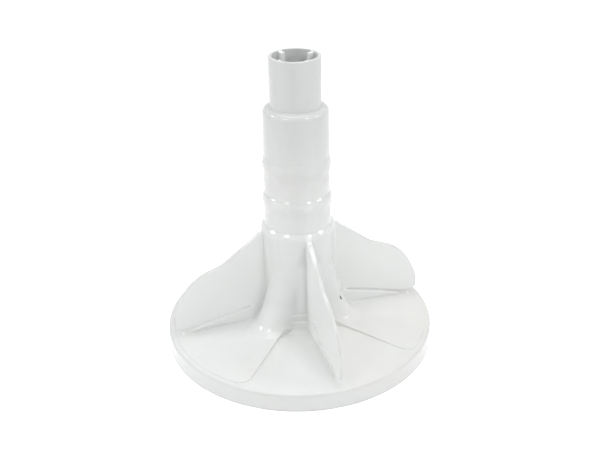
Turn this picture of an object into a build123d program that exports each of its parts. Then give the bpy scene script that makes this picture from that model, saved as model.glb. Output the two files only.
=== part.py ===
from build123d import *
import os
from math import atan2, cos, radians, sin, sqrt, tan

# Washing machine agitator, one injection moulding in off-white plastic.
# Millimetres. The axis of the column is Z, the foot of the skirt lies in the plane Z = 0,
# and the four fins stand on +X, +Y, -X and -Y.

# Disc with its skirt
DISC_R = 165.0
RIM_H = 21.8
RIM_ROUND = 2.5
RIM_INNER_ROUND = 0.8
SKIRT_DRAFT = 0.6
WALL = 3.2

# Floor of the disc in the two sunk sectors, around the +Y and -Y fins
LAND_R = DISC_R - 7.5
FLOOR_RISE = 4.6
FLOOR_FLARE = 12.0

# Pads, the raised sectors around the +X and -X fins
PAD_STEP = 0.8
PAD_RISE = 6.8
PAD_FLARE = 30.0
PAD_TOP = 95.0
SECTOR_HALF_ANGLE = 39.5
PAD_CORNER_ROUND = 14.0
PAD_ROOT_ROUND = 28.0

# Column, up to the soft shoulder that leans in to the tube at the ledge
COLUMN_R = 44.4
COLUMN_TOP = 151.0
COLUMN_ROUND = 9.0
LEDGE_H = 156.0

# Flats between the lobes, where the column faces the sunk sectors. They run out below the
# shoulder, and two small steps bring their foot forward.
FLAT_Y = 41.6
FLAT_TOP = 115.0
FLAT_END = 152.0
STEP = 1.1
UPPER_STEP_H = 48.0
LOWER_STEP_H = 38.5

# Lobes that carry the column out over the pads, one on each side of the +X and -X fins.
# Each station is height, distance out along X, distance to the side along Y, radius; slices
# between the stations follow one even curve. The side towards the sunk sector stops at LOBE_SIDE.
LOBE_STATIONS = (
    (118.0, 11.5, 11.5, 24.3),
    (100.0, 15.6, 15.2, 24.3),
    (84.0, 18.9, 17.2, 24.3),
    (72.0, 22.0, 18.3, 24.3),
    (60.0, 25.2, 18.7, 24.3),
    (50.0, 28.4, 18.9, 24.3),
    (41.0, 32.8, 19.3, 24.3),
    (32.0, 38.0, 20.4, 26.6),
    (24.0, 44.0, 22.5, 36.0),
)
LOBE_SLICES = 3
LOBE_SIDE = 44.0

# Tube above the ledge, stepped down at two beads: radius at the foot and the head of each length.
# A bead has its crest at a height above the ledge or above the bead below, and it reaches down to
# its foot and up to its head from there.
LOWER_TUBE_R = (40.4, 39.8)
LOWER_BEAD_H = 31.5
LOWER_BEAD_REACH = (10.5, 10.5)
LOWER_BEAD_R = 41.3
MIDDLE_TUBE_R = (39.0, 38.6)
UPPER_BEAD_H = 43.5
UPPER_BEAD_REACH = (10.0, 11.0)
UPPER_BEAD_R = 40.2
UPPER_TUBE_R = (38.5, 37.6)
BEAD_ROUND = 4.0
BEAD_CREST_ROUND = 2.5

# Shoulder and neck
SHOULDER_H = 299.6
SHOULDER_ROUND = 7.2
NECK_COVE = 0.8
NECK_R = 29.4
NECK_BORE_R = 25.6
NECK_TOP = 357.0
NECK_ROUND = 0.8

# Lugs inside the neck
LUG_COUNT = 4
LUG_ANGLE = 22.5
LUG_R = 20.0
LUG_W = 5.0
LUG_BOTTOM = 300.0
LUG_DROP = 1.5

# Hub inside the column: deck with the bolt hole, splined socket below it, webs out to the wall
DECK_H = 176.0
DECK_T = 6.0
BOLT_HOLE_R = 4.4
HUB_R = 15.5
HUB_BOTTOM = 128.0
SOCKET_R = 9.9
PILOT_R = 10.4
PILOT_DEPTH = 8.0
SPLINE_COUNT = 10
SPLINE_TIP_R = 8.6
SPLINE_W = 2.4
WEB_COUNT = 8
WEB_T = 2.4

# Fins: half outline as radius and height, thickness tapered from the column to the tip
FIN_COUNT = 4
FIN_ROOT = (42.6, 152.8)
FIN_SHOULDER = ((44.6, 152.8), (46.0, 148.1), (92.0, 113.3))
FIN_SHOULDER_ROUND = 3.0
FIN_CURVE = ((92.0, 113.3), (117.0, 103.0), (144.0, 80.5), (156.5, 56.0), (159.4, 38.0))
FIN_CURVE_TANGENTS = ((46.8, -35.6), (0.5, -18.0))
FIN_CORNER = (158.6, 30.8)
FIN_CORNER_ROUND = 4.5
FIN_ROOT_T = 6.0
FIN_TIP_T = 2.8
FIN_TIP_R = 160.4
FIN_EDGE_ROUND = 1.1

# Slit under each fin, a wedge that opens outwards above a low stub of the same thickness
SLIT_TOP = ((153.4, 30.5), (139.0, 31.7), (115.0, 37.2), (91.0, 43.6), (62.5, 49.5))
SLIT_FOOT = ((62.5, 46.0), (91.0, 39.0), (115.0, 32.5), (137.5, 25.6), (143.0, 22.0))
SLIT_END_ROUND = 1.6
STUB_SINK = 1.5


def turned(corners, angle=360):
    """Solid of revolution about Z from corners given as radius, height and rounding."""
    points = [(r, z) for r, z, _ in corners]
    outline = FilletPolyline(*points, radius=[c for _, _, c in corners], close=True)
    return revolve(Plane.XZ * make_face(outline), Axis.Z, angle)


def nearest(face, x, y):
    """The corner of a flat face nearest to a point."""
    return face.vertices().sort_by(lambda v: (v.X - x) ** 2 + (v.Y - y) ** 2)[0]


def core_quarter(inset):
    """Disc, skirt, sunk floor and column in one quadrant, with every face moved in by inset."""
    step = 0 if inset else STEP
    flare_r = COLUMN_R + step - inset
    tube_r = LOWER_TUBE_R[0] - inset
    lean = atan2(COLUMN_R - LOWER_TUBE_R[0], LEDGE_H - COLUMN_TOP)
    sink = inset * tan(lean / 2)
    corners = [
        (0, 0, 0),
        (DISC_R - inset, 0, 0),
        (DISC_R - SKIRT_DRAFT - inset, RIM_H - inset, RIM_INNER_ROUND if inset else RIM_ROUND),
        (LAND_R, RIM_H - inset, 0),
        (flare_r, RIM_H + FLOOR_RISE - inset, FLOOR_FLARE + inset),
    ]
    if step:
        corners += [(flare_r, LOWER_STEP_H, 0), (COLUMN_R, LOWER_STEP_H, 0)]
    corners += [
        (COLUMN_R - inset, COLUMN_TOP - sink, COLUMN_ROUND - inset),
        (tube_r, LEDGE_H - sink, 0),
        (0, LEDGE_H - sink, 0),
    ]
    return turned(corners, 90) - flat_cut(inset, step)


def flat_cut(inset, step):
    """What a flat takes off the column: upright, then leaning out until it meets the round."""
    flat = FLAT_Y - inset
    foot = [(flat + step, LOWER_STEP_H), (flat + step, UPPER_STEP_H)] if step else []
    outline = Polyline(
        *foot,
        (flat, UPPER_STEP_H if step else LOWER_STEP_H),
        (flat, FLAT_TOP),
        (COLUMN_R - inset, FLAT_END),
        (2 * COLUMN_R, FLAT_END),
        (2 * COLUMN_R, LOWER_STEP_H),
        close=True,
    )
    return extrude(Plane.YZ * make_face(outline), COLUMN_R)


def pad_plan(inset, side):
    """Plan of a quarter of the pads: a sector of the disc joined to a strip along the column."""
    half = radians(SECTOR_HALF_ANGLE)
    flat = side - inset
    outer = LAND_R - inset
    near_x = (inset + flat * sin(half)) / cos(half)
    reach = sqrt(outer**2 - inset**2)
    far_x = sin(half) * reach + cos(half) * inset
    far_y = cos(half) * reach - sin(half) * inset
    middle = radians(45 - SECTOR_HALF_ANGLE / 2)
    edge = Polyline((outer, 0), (0, 0), (0, flat), (near_x, flat), (far_x, far_y))
    arc = ThreePointArc((far_x, far_y), (outer * cos(middle), outer * sin(middle)), (outer, 0))
    plan = make_face(edge + arc)
    plan = fillet(nearest(plan, near_x, flat), PAD_ROOT_ROUND + inset)
    return fillet(nearest(plan, far_x, far_y), PAD_CORNER_ROUND - inset)


def lobe_slices():
    """The stations of a lobe with slices between them, on a curve that passes evenly through all."""
    before = [2 * a - b for a, b in zip(LOBE_STATIONS[0], LOBE_STATIONS[1])]
    after = [2 * a - b for a, b in zip(LOBE_STATIONS[-1], LOBE_STATIONS[-2])]
    row = [before, *LOBE_STATIONS, after]
    slices = []
    for i in range(len(LOBE_STATIONS) - 1):
        for t in (k / LOBE_SLICES for k in range(LOBE_SLICES)):
            slices.append(
                [
                    b + t / 2 * (c - a + t * (2 * a - 5 * b + 4 * c - d + t * (3 * b - a - 3 * c + d)))
                    for a, b, c, d in zip(*row[i:i + 4])
                ]
            )
    return slices + [LOBE_STATIONS[-1]]


def lobe(inset):
    """One lobe, lofted through round sections that lean out from the column."""
    sections = [
        Pos(out, aside, height) * Circle(radius - inset) for height, out, aside, radius in lobe_slices()
    ]
    return Pos(0, 0, -inset / 2) * loft(sections, ruled=True)


def form(inset):
    """The whole form below the ledge, with every face moved in by inset."""
    pad_corners = [
        (0, 0, 0),
        (LAND_R, 0, 0),
        (LAND_R, RIM_H + PAD_STEP - inset, 0),
        (COLUMN_R - inset, RIM_H + PAD_STEP + PAD_RISE - inset, PAD_FLARE + inset),
        (COLUMN_R - inset, PAD_TOP, 0),
        (0, PAD_TOP, 0),
    ]
    pad = turned(pad_corners, 90) & extrude(pad_plan(inset, FLAT_Y), LEDGE_H)
    column_lobe = lobe(inset) & extrude(pad_plan(inset, LOBE_SIDE), LEDGE_H)
    quarter = core_quarter(inset) + pad + column_lobe
    half = quarter + mirror(quarter, Plane.XZ)
    return half + mirror(half, Plane.YZ)


def fin():
    """One fin on +X with its stub, its slit open towards the rim, its free edge rounded."""
    shoulder = FilletPolyline(FIN_ROOT, *FIN_SHOULDER, radius=(0, FIN_SHOULDER_ROUND))
    curve = Spline(*FIN_CURVE, tangents=FIN_CURVE_TANGENTS)
    foot_h = RIM_H - STUB_SINK
    lower = Polyline(
        FIN_CURVE[-1], FIN_CORNER, *SLIT_TOP, *SLIT_FOOT, (SLIT_FOOT[-1][0], foot_h),
        (FIN_ROOT[0], RIM_H + FLOOR_RISE - STUB_SINK), FIN_ROOT,
    )
    side = make_face(shoulder + curve + lower)
    side = fillet(nearest(side, *FIN_CORNER), FIN_CORNER_ROUND)
    for corner in (SLIT_TOP[-1], SLIT_FOOT[0]):
        side = fillet(nearest(side, *corner), SLIT_END_ROUND)
    taper = Polyline(
        (FIN_ROOT[0], -FIN_ROOT_T / 2), (FIN_TIP_R, -FIN_TIP_T / 2),
        (FIN_TIP_R, FIN_TIP_T / 2), (FIN_ROOT[0], FIN_ROOT_T / 2), close=True,
    )
    slab = Pos(0, FIN_ROOT_T, 0) * extrude(Plane.XZ * side, 2 * FIN_ROOT_T)
    plate = slab & extrude(make_face(taper), LEDGE_H)

    def is_free(edge):
        middle = edge.center()
        above_slit = middle.Z > SLIT_TOP[-1][1] or middle.X > SLIT_TOP[0][0]
        return above_slit and middle.X > FIN_SHOULDER[0][0] and abs(middle.Y) > FIN_TIP_T / 4

    return fillet(plate.edges().filter_by(is_free), FIN_EDGE_ROUND)


def tube():
    """Outside of everything above the ledge: tube with two beads, shoulder and neck."""
    lower_crest = LEDGE_H + LOWER_BEAD_H
    upper_crest = lower_crest + UPPER_BEAD_H
    return turned(
        [
            (0, LEDGE_H - WALL, 0),
            (LOWER_TUBE_R[0], LEDGE_H - WALL, 0),
            (LOWER_TUBE_R[1], lower_crest - LOWER_BEAD_REACH[0], BEAD_ROUND),
            (LOWER_BEAD_R, lower_crest, BEAD_CREST_ROUND),
            (MIDDLE_TUBE_R[0], lower_crest + LOWER_BEAD_REACH[1], BEAD_ROUND),
            (MIDDLE_TUBE_R[1], upper_crest - UPPER_BEAD_REACH[0], BEAD_ROUND),
            (UPPER_BEAD_R, upper_crest, BEAD_ROUND),
            (UPPER_TUBE_R[0], upper_crest + UPPER_BEAD_REACH[1], BEAD_ROUND),
            (UPPER_TUBE_R[1], SHOULDER_H, SHOULDER_ROUND),
            (NECK_R, SHOULDER_H, NECK_COVE),
            (NECK_R, NECK_TOP, NECK_ROUND),
            (0, NECK_TOP, 0),
        ]
    )


def void():
    """Hollow of the moulding, open at the foot, less the hub, the inner tube and the webs."""
    hollow = form(WALL) + turned(
        [
            (0, LEDGE_H - 2 * WALL, 0),
            (LOWER_TUBE_R[0] - WALL, LEDGE_H - 2 * WALL, 0),
            (UPPER_TUBE_R[1] - WALL, SHOULDER_H - WALL, SHOULDER_ROUND - WALL),
            (0, SHOULDER_H - WALL, 0),
        ]
    )
    hub = turned(
        [
            (0, HUB_BOTTOM, 0),
            (HUB_R, HUB_BOTTOM, 0),
            (HUB_R, DECK_H - DECK_T, 0),
            (NECK_R, DECK_H - DECK_T, 0),
            (NECK_R, SHOULDER_H, 0),
            (0, SHOULDER_H, 0),
        ]
    )
    web = Box(2 * COLUMN_R, WEB_T, SHOULDER_H - HUB_BOTTOM, align=(Align.CENTER, Align.CENTER, Align.MIN))
    webs = [Rot(0, 0, 360 / WEB_COUNT * i) * Pos(0, 0, HUB_BOTTOM) * web for i in range(WEB_COUNT // 2)]
    return hollow - hub - webs


def bore():
    """Bore of the neck down to the deck, less the lugs, with the bolt hole and the splined socket."""
    drop = NECK_TOP - LUG_DROP - LUG_BOTTOM
    lug = Pos((LUG_R + NECK_R) / 2, 0, LUG_BOTTOM + drop / 2) * Box(NECK_R - LUG_R, LUG_W, drop)
    lugs = [Rot(0, 0, LUG_ANGLE + 360 / LUG_COUNT * i) * lug for i in range(LUG_COUNT)]
    neck = Pos(0, 0, (DECK_H + NECK_TOP) / 2) * Cylinder(NECK_BORE_R, NECK_TOP - DECK_H)
    hole = Pos(0, 0, DECK_H - DECK_T / 2) * Cylinder(BOLT_HOLE_R, 2 * DECK_T)
    depth = DECK_H - DECK_T - HUB_BOTTOM
    tooth = Pos((SPLINE_TIP_R + HUB_R) / 2, 0, HUB_BOTTOM + PILOT_DEPTH + depth / 2) * Box(
        HUB_R - SPLINE_TIP_R, SPLINE_W, depth
    )
    teeth = [Rot(0, 0, 360 / SPLINE_COUNT * i) * tooth for i in range(SPLINE_COUNT)]
    socket = Pos(0, 0, HUB_BOTTOM + depth / 2) * Cylinder(SOCKET_R, depth)
    pilot = Pos(0, 0, HUB_BOTTOM + PILOT_DEPTH / 2) * Cylinder(PILOT_R, PILOT_DEPTH)
    return (neck - lugs) + hole + (socket - teeth) + pilot


fins = [Rot(0, 0, 360 / FIN_COUNT * i) * fin() for i in range(FIN_COUNT)]
outside = form(0) + tube() + fins
agitator = outside - void() - bore()

os.makedirs("parts", exist_ok=True)
export_step(agitator, "parts/agitator.step")
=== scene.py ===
"""Washing machine agitator in a pale studio: one glossy off-white moulding, carried over from the CAD."""
import math

import bpy
import numpy as np
from mathutils import Matrix, Vector

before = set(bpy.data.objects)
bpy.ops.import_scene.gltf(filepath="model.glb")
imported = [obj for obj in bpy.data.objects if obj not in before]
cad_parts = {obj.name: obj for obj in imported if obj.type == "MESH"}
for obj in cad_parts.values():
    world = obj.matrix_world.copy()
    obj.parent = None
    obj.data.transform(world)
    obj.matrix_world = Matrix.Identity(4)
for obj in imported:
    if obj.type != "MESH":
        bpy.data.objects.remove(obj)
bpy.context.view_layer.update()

# Camera: place in metres, heading, pitch and roll in degrees, focal length and width of the sensor in
# millimetres, and how far it sees in metres
CAMERA_PLACE = (-0.2609, -0.8750, 0.6209)
CAMERA_HEADING = 73.23
CAMERA_PITCH = -27.37
CAMERA_ROLL = -1.015
CAMERA_LENS = 51.27
CAMERA_SENSOR = 36.0
CAMERA_REACH = 50.0

# Studio. Four small bright softboxes stand round the object, a large faint one hangs over it and two
# more stand low at the left and in front. Each has heading and elevation in degrees, distance, width
# and height in metres, radiance, and the height that it is aimed at. The surroundings give the rest
# of the light.
SOFTBOXES = {
    "softbox_left": (162.0, 30.0, 1.5, 0.30, 0.30, 11.0, 0.16),
    "softbox_front_left": (213.0, 40.0, 1.5, 0.30, 0.30, 8.0, 0.16),
    "softbox_front_right": (295.0, 40.0, 1.5, 0.30, 0.30, 9.0, 0.16),
    "softbox_right": (335.0, 30.0, 1.5, 0.30, 0.30, 12.0, 0.16),
    "softbox_top": (0.0, 89.0, 1.6, 1.2, 1.2, 2.0, 0.16),
    "softbox_low_left": (190.0, 10.0, 1.2, 1.0, 0.4, 0.9, 0.03),
    "softbox_low_front": (283.0, 10.0, 1.2, 1.0, 0.4, 0.5, 0.03),
}
WORLD_LIGHT = 0.43
WORLD_SEEN = 1.0

# Floor: half its side and its drop below the foot in metres, grey, how far it is lifted to white where
# it is seen, and roughness
FLOOR_HALF = 6.0
FLOOR_DROP = 0.0002
FLOOR_TONE = 0.93
FLOOR_LIFT = 0.52
FLOOR_ROUGHNESS = 0.9

# Measures of the moulding in metres. The free edge of a fin is given as radius and height.
DISC_R = 0.165
RIM_H = 0.0218
NECK_BORE = 0.0257
NECK_TOP = 0.357
NECK_DECK = 0.176
FIN_EDGE = (
    (0.0, 0.152),
    (0.046, 0.1481),
    (0.092, 0.1133),
    (0.117, 0.103),
    (0.144, 0.0805),
    (0.1565, 0.056),
)
FIN_TIP_R = 0.1594
FIN_FOOT = 0.030
FLAT_Y = 0.041
LUG_ANGLE = 22.5
LUG_HALF = 0.0025
LUG_R = 0.0200

# Limits of soft steps in metres: where the change begins and where it is complete. A FADE is the
# width of a step.
FIN_START = (0.040, 0.0425)
FIN_SIDE = (0.0032, 0.0050)
FIN_FREE = (0.047, 0.050)
FIN_FOOT_FADE = 0.004
BORE_FADE = 0.0008
DECK_FADE = 0.001
LUG_FADE = 0.0003

# Reach from an edge or an end in metres, full within the first distance and gone beyond the second:
# wear of the rim, the foot, the fins' tips and the other edges, which also carries painted shade, tips of
# the lugs, light in the mouth that lifts the painted shade of the bore
RIM_WEAR = (0.0008, 0.0035)
FOOT_WEAR = (0.002, 0.004)
TIP_WEAR = (0.0008, 0.003)
EDGE_WEAR = (0.0004, 0.0022)
LUG_TIP = (0.0005, 0.001)
MOUTH_LIGHT = (0.001, 0.040)

# Folds that are softened so that one form runs into the next: lowest height, highest height and soft
# edge of each stretch
FOLD_RADIUS = 0.009
SOFT_COLUMN = (0.052, 0.140, 0.004)
SOFT_LOBES = (0.036, 0.140, 0.003)
SOFT_BEADS = ((0.168, 0.193, 0.002), (0.212, 0.238, 0.002))
SOFT_LOBES_START = (0.047, 0.049)
SOFT_END = (0.085, 0.095)

# Painted shade in the crease above the column's shoulder and in the crease at the neck's foot: height and
# reach. A line has its width below and above its height, and its soft edge.
CREASES = ((0.156, 0.0415), (0.3003, 0.0306))
CREASE_LINE = (0.0004, 0.0006, 0.0003)
CREASE_FADE = 0.0004

# Small step at the head of each bead: height, half rise and share of the depth
BEAD_STEPS = ((0.1955, 0.0022, 1.0), (0.2400, 0.0026, 0.6))
BEAD_STEP_DEPTH = 0.0014

# Painted highlight on the edges of the two small steps at the foot of each flat: heights, line, how far
# they reach out and to the side
FLAT_STEPS = (0.0480, 0.0385)
FLAT_STEP_LINE = (0.0012, 0.0006, 0.0002)
FLAT_STEP_REACH = 0.008
FLAT_STEP_FADE = 0.0004
FLAT_STEP_SIDE = (0.022, 0.024)

# Painted light on the lower lip of the slit under each fin on a pad: radius and height of its inner end,
# its slope, its lower lip, the radii that it runs between and the half thickness of the fin there
SLIT_START = 0.0625
SLIT_START_H = 0.0478
SLIT_SLOPE = -0.254
SLIT_LIP = (0.0030, 0.0, 0.0003)
SLIT_SPAN = (0.060, 0.150, 0.001)
SLIT_SIDE = (0.0032, 0.0036)

# Places painted lighter or darker for light and shade: painted light on the fins above their feet and on
# the flats, painted shade on the tops of the lobes and on the tube
LIT_FIN_HEIGHTS = (RIM_H + 0.006, RIM_H + 0.008)
FLAT_SPAN = (0.052, 0.115, 0.006)
FLAT_SIDE = (0.012, 0.020)
FLAT_OUT = (0.038, 0.041)
LOBE_OUT = (0.0425, 0.0465)
LOBE_SPAN = (0.060, 0.120, 0.008)
LOBE_SHADE_SHARE = 0.4
TUBE_RISE = (0.16, 0.32)

# Colours of the moulding, with the tones of its painted light and shade
PLASTIC = (0.815, 0.832, 0.826)
PLASTIC_WARM = (0.830, 0.828, 0.808)
PLASTIC_DULL = (0.745, 0.755, 0.745)
PLASTIC_PAINTED_LIGHT = (0.880, 0.893, 0.885)
PLASTIC_PAINTED_SHADE = (0.700, 0.718, 0.712)
PLASTIC_PAINTED_HIGHLIGHT = (0.960, 0.965, 0.955)
CREASE_SHADE_TONE = (0.66, 0.67, 0.66)
BORE_SHADE_TONE = (0.74, 0.75, 0.74)
WORN_AND_SHADE_TONE = (0.690, 0.700, 0.690)

# Strength of each mark, and of the painted light and shade, in the colour, from 0 to 1
FLOW_SHARE = 0.30
MOTTLE_SHARE = 0.16
WORN_AND_SHADE_SHARE = 0.8
WORN_EVEN = 0.6
WORN_PATCHY = 0.4
BORE_SHADE_SHARE = 0.80
BORE_SHADE_LIFT = 0.60
CREASE_SHADE_SHARE = 0.4

# Noise in waves per metre; the flow marks have waves per radian round the axis, and per metre
# outwards and upwards. The limits are where each noise starts to show and where it shows fully.
CLOUD_WAVES = 9.0
MOTTLE_WAVES = 55.0
PEEL_WAVES = 140.0
GRAIN_WAVES = 900.0
FLOW_WAVES = (3.0, 6.0, 10.0)
CLOUD_LIMITS = (0.35, 0.70)
FLOW_LIMITS = (0.48, 0.72)
MOTTLE_LIMITS = (0.50, 0.80)
PATCH_LIMITS = (0.30, 0.55)

# Roughness of the plain surface and what each cause adds to it
ROUGHNESS = 0.09
CLOUD_ROUGHNESS = 0.06
GRAIN_ROUGHNESS = 0.04
WORN_ROUGHNESS = 0.22
BORE_ROUGHNESS = 0.20
FLECK_ROUGHNESS = 0.30

# Fine relief: depth in metres and the share of each noise in it
RELIEF_DEPTH = 0.00008
PEEL_RELIEF = 0.55
GRAIN_RELIEF = 0.10
MOTTLE_RELIEF = 0.35

# Body of the plastic: index of refraction, and how much light goes below the surface and how deep
PLASTIC_IOR = 1.50
PLASTIC_DEPTH_SHARE = 0.10
PLASTIC_DEPTH = (0.004, 0.004, 0.0035)

# Dark fleck on the round of the right front lobe: centre, the way it runs, the way across, the way
# the surface faces there, half length and half width in metres
FLECK_PLACE = (0.0424, -0.0362, 0.0585)
FLECK_ALONG = (0.42, 0.12, -0.90)
FLECK_ACROSS = (0.57, 0.74, 0.37)
FLECK_FACING = (0.71, -0.66, 0.23)
FLECK_SIZE = (0.0034, 0.0013)
FLECK_DEPTH = 0.0025
FLECK_SOFT = 0.0002
FLECK_LIMITS = (0.6, 1.4)
FLECK_TONE = (0.03, 0.03, 0.03)


class Value:
    """A number or vector inside a shader; arithmetic on it adds the Math nodes that work it out."""

    def __init__(self, shader, socket):
        self.shader = shader
        self.socket = socket

    def maths(self, operation, *values):
        return self.shader.node("ShaderNodeMath", {"operation": operation}, dict(enumerate(values)))

    def __add__(self, other):
        return self.maths("ADD", self, other)

    def __sub__(self, other):
        return self.maths("SUBTRACT", self, other)

    def __rsub__(self, other):
        return self.maths("SUBTRACT", other, self)

    def __mul__(self, other):
        return self.maths("MULTIPLY", self, other)

    def __truediv__(self, other):
        return self.maths("DIVIDE", self, other)

    def __pow__(self, other):
        return self.maths("POWER", self, other)

    __radd__ = __add__

    def turn(self, other):
        """Angle in radians of the direction that has self upwards and other across."""
        return self.maths("ARCTAN2", self, other)

    def larger(self, other):
        return self.maths("MAXIMUM", self, other)

    def smaller(self, other):
        return self.maths("MINIMUM", self, other)

    def size(self):
        return self.maths("ABSOLUTE", self)

    def step(self, low, high):
        """0 below low, 1 above high, smooth between them."""
        settings = {"interpolation_type": "SMOOTHSTEP"}
        return self.shader.node("ShaderNodeMapRange", settings, {0: self, 1: low, 2: high})

    def fade(self, low, high):
        """1 below low, 0 above high, smooth between them."""
        return 1 - self.step(low, high)

    def inside(self, low, high, edge):
        """1 between low and high, 0 outside, with soft edges."""
        return self.step(low - edge, low + edge) * self.fade(high - edge, high + edge)

    def line(self, height, width):
        """1 along a height: width holds the reach below it, the reach above it and the soft edge."""
        below, above, edge = width
        return self.inside(height - below, height + above, edge)

    def up_to(self, end, reach):
        """1 within the first distance below an end and above it, 0 beyond the second."""
        near, far = reach
        return self.step(end - far, end - near)


class Shader:
    """Node tree of one material, filled by expressions."""

    def __init__(self, name):
        self.material = bpy.data.materials.new(name)
        self.material.use_nodes = True
        self.tree = self.material.node_tree
        self.surface = self.tree.nodes["Principled BSDF"]

    def node(self, kind, settings=None, inputs=None, output=0):
        """Adds a node: its settings first, then the values or links of its sockets."""
        node = self.tree.nodes.new(kind)
        for name, value in (settings or {}).items():
            setattr(node, name, value)
        self.plug(node, inputs or {})
        return Value(self, node.outputs[output])

    def plug(self, node, inputs):
        for name, value in inputs.items():
            if isinstance(value, Value):
                self.tree.links.new(value.socket, node.inputs[name])
            else:
                node.inputs[name].default_value = value


class Moulding(Shader):
    """Shader of the agitator, with the distances that its marks are placed by."""

    def __init__(self, name):
        super().__init__(name)
        self.place = self.node("ShaderNodeTexCoord", output="Object")
        self.x, self.y, self.z = (
            self.node("ShaderNodeSeparateXYZ", {}, {0: self.place}, output=axis) for axis in "XYZ"
        )
        self.radius = (self.x * self.x + self.y * self.y) ** 0.5
        off_fin_plane = self.x.size().smaller(self.y.size())
        self.on_fin = self.radius.step(*FIN_START) * off_fin_plane.fade(*FIN_SIDE)

    def noise(self, scale, detail=2.0, where=None):
        """Cloudy noise from 0 to 1, scale in waves per metre."""
        inputs = {"Vector": where or self.place, "Scale": scale, "Detail": detail}
        return self.node("ShaderNodeTexNoise", {}, inputs)

    def flow(self):
        """Streaks that run round and up the moulding as the plastic filled the mould."""
        round_axis, outwards, upwards = FLOW_WAVES
        turn = self.y.turn(self.x)
        inputs = {0: turn * round_axis, 1: self.radius * outwards, 2: self.z * upwards}
        return self.noise(1.0, where=self.node("ShaderNodeCombineXYZ", {}, inputs))

    def blend(self, share, first, second):
        """Colour that goes from first to the plain colour second as share goes from 0 to 1."""
        inputs = {0: share, 6: first, 7: colour(second)}
        return self.node("ShaderNodeMix", {"data_type": "RGBA"}, inputs, output=2)

    def bump(self, height, distance, normal):
        """Normal of a relief whose height goes from 0 to 1 over a distance in metres."""
        inputs = {"Height": height, "Distance": distance, "Strength": 1.0, "Normal": normal}
        return self.node("ShaderNodeBump", {}, inputs)

    def softened(self, share, radius):
        """Normal that eases over folds of the surface within a radius, as far as share says."""
        sharp = self.node("ShaderNodeNewGeometry", output="Normal")
        eased = self.node("ShaderNodeBevel", {"samples": 8}, {"Radius": radius})
        inputs = {0: share, 4: sharp, 5: eased}
        return self.node("ShaderNodeMix", {"data_type": "VECTOR"}, inputs, output=1)

    def along(self, start, way):
        """Distance of a place from start, measured along a direction."""
        return (self.x - start[0]) * way[0] + (self.y - start[1]) * way[1] + (self.z - start[2]) * way[2]


def colour(rgb):
    return (*rgb, 1.0)


def fin_edge_height(s):
    """Height of a fin's free edge at a radius, through the points of FIN_EDGE."""
    curve = s.tree.nodes.new("ShaderNodeFloatCurve")
    points = curve.mapping.curves[0].points
    for r, height in FIN_EDGE[1:]:
        points.new(r / DISC_R, height / NECK_TOP)
    points[0].location = (0.0, FIN_EDGE[0][1] / NECK_TOP)
    points[-1].location = (1.0, FIN_FOOT / NECK_TOP)
    curve.mapping.update()
    s.plug(curve, {"Value": s.radius / DISC_R})
    return Value(s, curve.outputs[0]) * NECK_TOP


def rubbed_and_shaded_edges(s):
    """1 along the edges that get rubbed and are painted darker as shade: rim, foot, mouth of the neck and
    free edges of the fins.
    """
    rim = s.radius.up_to(DISC_R, RIM_WEAR) * s.z.up_to(RIM_H, RIM_WEAR)
    foot = s.radius.up_to(DISC_R, FOOT_WEAR) * s.z.fade(*EDGE_WEAR)
    mouth = s.z.up_to(NECK_TOP, EDGE_WEAR)
    fin_top = (fin_edge_height(s) - s.z).fade(*EDGE_WEAR)
    fin_tip = s.radius.up_to(FIN_TIP_R, TIP_WEAR)
    above_foot = s.z.step(FIN_FOOT, FIN_FOOT + FIN_FOOT_FADE) * s.radius.step(*FIN_FREE)
    return rim.larger(foot).larger(mouth).larger(fin_top.larger(fin_tip) * above_foot)


def soft_folds(s):
    """1 where the column, its lobes and the beads run softly into each other, 0 on the fins."""
    column = s.z.inside(*SOFT_COLUMN)
    lobes = s.z.inside(*SOFT_LOBES) * s.radius.step(*SOFT_LOBES_START)
    lower_bead, upper_bead = (s.z.inside(*stretch) for stretch in SOFT_BEADS)
    forms = column.larger(lobes).larger(lower_bead.larger(upper_bead))
    return forms * s.radius.fade(*SOFT_END) * (1 - s.on_fin)


def crease_shade(s):
    """Painted shade: 1 in the crease where the tube meets the column and in the crease where the neck
    meets the tube.
    """
    lower, upper = (
        s.z.line(height, CREASE_LINE) * s.radius.fade(reach, reach + CREASE_FADE)
        for height, reach in CREASES
    )
    return lower.larger(upper)


def flat_step_highlights(s):
    """Painted highlight: 1 on the edges of the two small steps at the foot of each flat."""
    upper, lower = (s.z.line(height, FLAT_STEP_LINE) for height in FLAT_STEPS)
    out = s.y.size().inside(FLAT_Y, FLAT_Y + FLAT_STEP_REACH, FLAT_STEP_FADE)
    return upper.larger(lower) * out * s.x.size().fade(*FLAT_STEP_SIDE) * (1 - s.on_fin)


def slit_lip_light(s):
    """Painted light: 1 on the lower lips of the slits under the two fins that stand on the pads."""
    levelled = s.z - (s.radius - SLIT_START) * SLIT_SLOPE
    lip = levelled.line(SLIT_START_H, SLIT_LIP)
    return lip * s.radius.inside(*SLIT_SPAN) * s.y.size().fade(*SLIT_SIDE)


def bead_steps(s):
    """Height of the step at the head of each bead: 1 below it, 0 above."""
    lower, upper = (s.z.fade(height - rise, height + rise) * share for height, rise, share in BEAD_STEPS)
    return lower + upper


def lugs(s):
    """1 on the four lugs inside the neck."""
    cosine = math.cos(math.radians(LUG_ANGLE))
    sine = math.sin(math.radians(LUG_ANGLE))
    out = s.x * cosine + s.y * sine
    aside = s.y * cosine - s.x * sine
    near = out.size().smaller(aside.size())
    return near.fade(LUG_HALF, LUG_HALF + LUG_FADE) * s.radius.up_to(LUG_R, LUG_TIP)


def bore(s):
    """1 on the wall of the neck's bore, down to the deck."""
    return s.radius.fade(NECK_BORE, NECK_BORE + BORE_FADE) * s.z.step(NECK_DECK - DECK_FADE, NECK_DECK)


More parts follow.
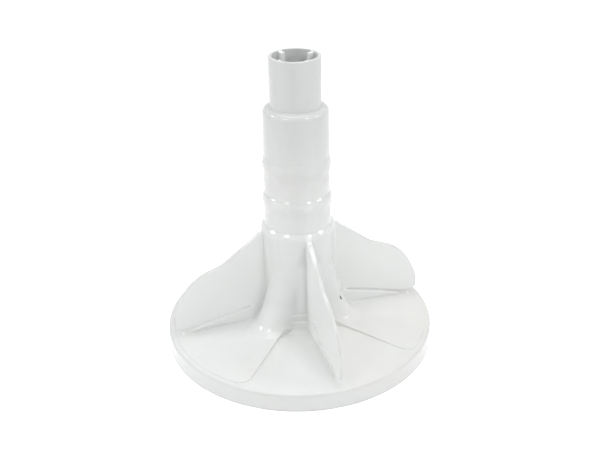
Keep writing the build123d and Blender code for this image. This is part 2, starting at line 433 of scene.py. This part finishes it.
def dark_fleck(s):
    """1 on the fleck, an oval on the surface of one lobe."""
    half_length, half_width = FLECK_SIZE
    far_along = s.along(FLECK_PLACE, FLECK_ALONG) / half_length
    far_across = s.along(FLECK_PLACE, FLECK_ACROSS) / half_width
    on_surface = s.along(FLECK_PLACE, FLECK_FACING).inside(-FLECK_DEPTH, FLECK_DEPTH, FLECK_SOFT)
    return (far_along ** 2 + far_across ** 2).fade(*FLECK_LIMITS) * on_surface


def tinted(s, cloud, mottle, worn_and_shaded, in_bore, fleck):
    """Colour of the moulding: cloudy off-white with marks, wear and painted shade on the edges, painted
    shade in the bore and along the crease lines, painted light on fins, flats, lugs, steps and slit lips,
    painted shade on lobe tops and tube, and the fleck.
    """
    tint = s.blend(cloud.step(*CLOUD_LIMITS), colour(PLASTIC), PLASTIC_WARM)
    marks = s.flow().step(*FLOW_LIMITS) * FLOW_SHARE + mottle.step(*MOTTLE_LIMITS) * MOTTLE_SHARE
    tint = s.blend(marks, tint, PLASTIC_DULL)

    # Painted light: the fins above their feet and the flats are painted lighter
    painted_light_fin = s.on_fin * s.z.step(*LIT_FIN_HEIGHTS)
    flat = s.z.inside(*FLAT_SPAN) * s.x.size().fade(*FLAT_SIDE) * s.y.size().step(*FLAT_OUT)
    tint = s.blend(painted_light_fin.larger(flat), tint, PLASTIC_PAINTED_LIGHT)
    # Painted shade: the tops of the lobes and the tube up from the column are painted darker
    shaded_lobe_top = s.radius.step(*LOBE_OUT) * s.z.inside(*LOBE_SPAN) * (1 - s.on_fin)
    tint = s.blend((shaded_lobe_top * LOBE_SHADE_SHARE).larger(s.z.step(*TUBE_RISE)), tint, PLASTIC_PAINTED_SHADE)
    # Edges painted darker: partly wear, partly painted shade on edges that catch the light
    tint = s.blend(worn_and_shaded * WORN_AND_SHADE_SHARE, tint, WORN_AND_SHADE_TONE)

    # Painted shade in the bore: darker with depth, lifted towards the mouth
    light = s.z.up_to(NECK_TOP, MOUTH_LIGHT)
    tint = s.blend(in_bore * (BORE_SHADE_SHARE - light * BORE_SHADE_LIFT), tint, BORE_SHADE_TONE)
    # Painted light: the lugs near the mouth, the edges of the flats' steps and the lower lips of the
    # slits are painted near white
    lit_lugs = lugs(s) * in_bore * light
    tint = s.blend(lit_lugs.larger(flat_step_highlights(s)).larger(slit_lip_light(s)), tint, PLASTIC_PAINTED_HIGHLIGHT)
    # Painted shade along the crease lines
    tint = s.blend(crease_shade(s) * CREASE_SHADE_SHARE, tint, CREASE_SHADE_TONE)
    return s.blend(fleck, tint, FLECK_TONE)


def moulded_plastic():
    """Glossy off-white plastic with flow marks, orange peel, rubbed edges partly painted darker as shade,
    and painted shade in the bore.
    """
    s = Moulding("moulded_plastic")
    cloud = s.noise(CLOUD_WAVES, 3.0)
    mottle = s.noise(MOTTLE_WAVES, 3.0)
    grain = s.noise(GRAIN_WAVES, 1.0)
    peel = s.noise(PEEL_WAVES, 1.0)
    # Rubbed edges, which are also painted darker as shade in the colour
    worn_and_shaded = rubbed_and_shaded_edges(s) * (WORN_EVEN + mottle.step(*PATCH_LIMITS) * WORN_PATCHY)
    in_bore = bore(s)
    fleck = dark_fleck(s)

    sheen = ROUGHNESS + cloud * CLOUD_ROUGHNESS + grain * GRAIN_ROUGHNESS
    sheen = sheen + worn_and_shaded * WORN_ROUGHNESS + in_bore * BORE_ROUGHNESS + fleck * FLECK_ROUGHNESS
    folds = s.softened(soft_folds(s), FOLD_RADIUS)
    stepped = s.bump(bead_steps(s), BEAD_STEP_DEPTH, folds)
    fine = peel * PEEL_RELIEF + grain * GRAIN_RELIEF + mottle * MOTTLE_RELIEF
    relief = s.bump(fine, RELIEF_DEPTH, stepped)
    tint = tinted(s, cloud, mottle, worn_and_shaded, in_bore, fleck)
    s.plug(s.surface, {"Base Color": tint, "Roughness": sheen, "Normal": relief})
    s.plug(s.surface, {"IOR": PLASTIC_IOR, "Subsurface Weight": PLASTIC_DEPTH_SHARE})
    s.plug(s.surface, {"Subsurface Radius": PLASTIC_DEPTH, "Subsurface Scale": 1.0})
    return s.material


def pale_floor():
    """Plain near-white floor that keeps the object's shadow and shows as white elsewhere."""
    s = Shader("pale_floor")
    s.plug(s.surface, {"Base Color": colour((FLOOR_TONE,) * 3), "Roughness": FLOOR_ROUGHNESS})
    s.plug(s.surface, {"Specular IOR Level": 0.0, "Emission Strength": 1.0})
    camera_ray = s.node("ShaderNodeLightPath", output="Is Camera Ray")
    glossy_ray = s.node("ShaderNodeLightPath", output="Is Glossy Ray")
    s.plug(s.surface, {"Emission Color": camera_ray.larger(glossy_ray) * FLOOR_LIFT})
    return s.material


def add_floor():
    """A flat square at the height the foot stands on."""
    corners = np.array([(-1, -1), (1, -1), (1, 1), (-1, 1)]) * FLOOR_HALF
    mesh = bpy.data.meshes.new("floor")
    mesh.from_pydata([(x, y, -FLOOR_DROP) for x, y in corners.tolist()], [], [(0, 1, 2, 3)])
    floor = bpy.data.objects.new("floor", mesh)
    bpy.context.scene.collection.objects.link(floor)
    floor.data.materials.append(pale_floor())


def add_softboxes():
    for name, (heading, elevation, distance, width, height, radiance, aim) in SOFTBOXES.items():
        turn = math.radians(heading)
        up = math.radians(elevation)
        way = Vector((math.cos(up) * math.cos(turn), math.cos(up) * math.sin(turn), math.sin(up)))
        lamp = bpy.data.lights.new(name, "AREA")
        lamp.shape = "RECTANGLE"
        lamp.size = width
        lamp.size_y = height
        lamp.energy = radiance * math.pi * width * height
        box = bpy.data.objects.new(name, lamp)
        box.location = Vector((0.0, 0.0, aim)) + way * distance
        box.rotation_euler = (-way).to_track_quat("-Z", "Y").to_euler()
        bpy.context.scene.collection.objects.link(box)


def add_world():
    """Pale surroundings: soft light on the object, plain white to the camera and in reflections."""
    world = bpy.data.worlds.new("studio")
    world.use_nodes = True
    bpy.context.scene.world = world
    nodes = world.node_tree.nodes
    links = world.node_tree.links
    background = nodes["Background"]
    background.inputs["Color"].default_value = colour((1.0, 1.0, 1.0))
    path = nodes.new("ShaderNodeLightPath")
    seen = path.outputs["Is Camera Ray"]
    for kind in ("Is Glossy Ray", "Is Transmission Ray"):
        either = nodes.new("ShaderNodeMath")
        either.operation = "MAXIMUM"
        links.new(seen, either.inputs[0])
        links.new(path.outputs[kind], either.inputs[1])
        seen = either.outputs[0]
    strength = nodes.new("ShaderNodeMapRange")
    strength.inputs["To Min"].default_value = WORLD_LIGHT
    strength.inputs["To Max"].default_value = WORLD_SEEN
    links.new(seen, strength.inputs["Value"])
    links.new(strength.outputs[0], background.inputs["Strength"])


def add_camera():
    """The camera of the photograph: fitted place, heading, pitch, roll and focal length."""
    lens = bpy.data.cameras.new("camera")
    lens.lens = CAMERA_LENS
    lens.sensor_width = CAMERA_SENSOR
    lens.clip_end = CAMERA_REACH
    camera = bpy.data.objects.new("camera", lens)
    heading = Matrix.Rotation(math.radians(CAMERA_HEADING - 90), 4, "Z")
    pitch = Matrix.Rotation(math.radians(90 + CAMERA_PITCH), 4, "X")
    roll = Matrix.Rotation(math.radians(CAMERA_ROLL), 4, "Z")
    camera.matrix_world = Matrix.Translation(CAMERA_PLACE) @ heading @ pitch @ roll
    bpy.context.scene.collection.objects.link(camera)
    bpy.context.scene.camera = camera


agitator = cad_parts["agitator"]
agitator.data.materials.clear()
agitator.data.materials.append(moulded_plastic())

add_floor()
add_softboxes()
add_world()
add_camera()
bpy.context.scene.view_settings.view_transform = "Standard"
